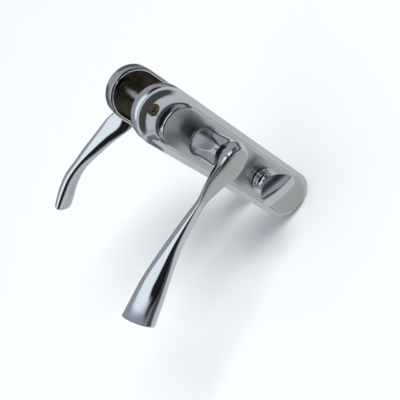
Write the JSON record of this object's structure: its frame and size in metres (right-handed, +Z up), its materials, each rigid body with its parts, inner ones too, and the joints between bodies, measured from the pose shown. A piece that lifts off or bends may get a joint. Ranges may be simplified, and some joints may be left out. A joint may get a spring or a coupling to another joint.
{
  "type": "door lever handle set",
  "caption": "Polished chrome bathroom door handle set: twisted sprung levers on long round-ended backplates, with a square spindle, thumbturn and coin release.",
  "frame": {"origin": "on the lever spindle's axis, in the middle of the door leaf that the two backplates clamp", "axes": "+X across the door, away from the way the levers point; +Y through the door, from the thumbturn side (inside) to the coin release side (outside); +Z up the door"},
  "size_m": [0.138, 0.1776, 0.178],
  "materials": {
    "plate_chrome": "polished chrome plate on die-cast zinc, with a satin nickel panel",
    "lever_chrome": "polished chrome plate on die-cast zinc, with a satin nickel face on the knuckle",
    "turn_chrome": "polished chrome plate on brass",
    "nylon": "natural nylon, matt",
    "spring_steel": "oiled spring wire",
    "zinc_plated_steel": "yellow zinc plate, satin",
    "circlip_steel": "phosphated spring steel",
    "fixing_brass": "brass, satin",
    "spindle_steel": "bright drawn steel"
  },
  "bodies": {
    "plates": {"inside_backplate": "plate_chrome", "inside_lever_bush": "nylon", "inside_return_spring": "spring_steel", "inside_turn_washer": "spring_steel", "outside_backplate": "plate_chrome", "outside_lever_bush": "nylon", "outside_return_spring": "spring_steel", "outside_turn_washer": "spring_steel", "fixing_screw": "fixing_brass", "sleeve_nut": "spindle_steel"},
    "levers": {"inside_lever": "lever_chrome", "inside_spring_plate": "zinc_plated_steel", "inside_lever_circlip": "circlip_steel", "outside_lever": "lever_chrome", "outside_spring_plate": "zinc_plated_steel", "outside_lever_circlip": "circlip_steel", "lever_spindle": "spindle_steel"},
    "privacy_turn": {"thumbturn": "turn_chrome", "coin_release": "turn_chrome", "turn_spindle": "spindle_steel", "inside_turn_circlip": "circlip_steel", "outside_turn_circlip": "circlip_steel"}
  },
  "joints": [
    {"name": "lever_press", "type": "hinge", "parent": "plates", "child": "levers", "pos_m": [0, 0, 0], "axis": [0, -1, 0], "range_deg": [0, 50], "stiffness_Nm_per_rad": 0.9, "springref_deg": -34.38, "deforming": ["inside_return_spring", "outside_return_spring"]},
    {"name": "privacy_turn", "type": "hinge", "parent": "plates", "child": "privacy_turn", "pos_m": [0, 0, -0.065], "axis": [0, 1, 0], "range_deg": [-20, 70]}
  ]
}
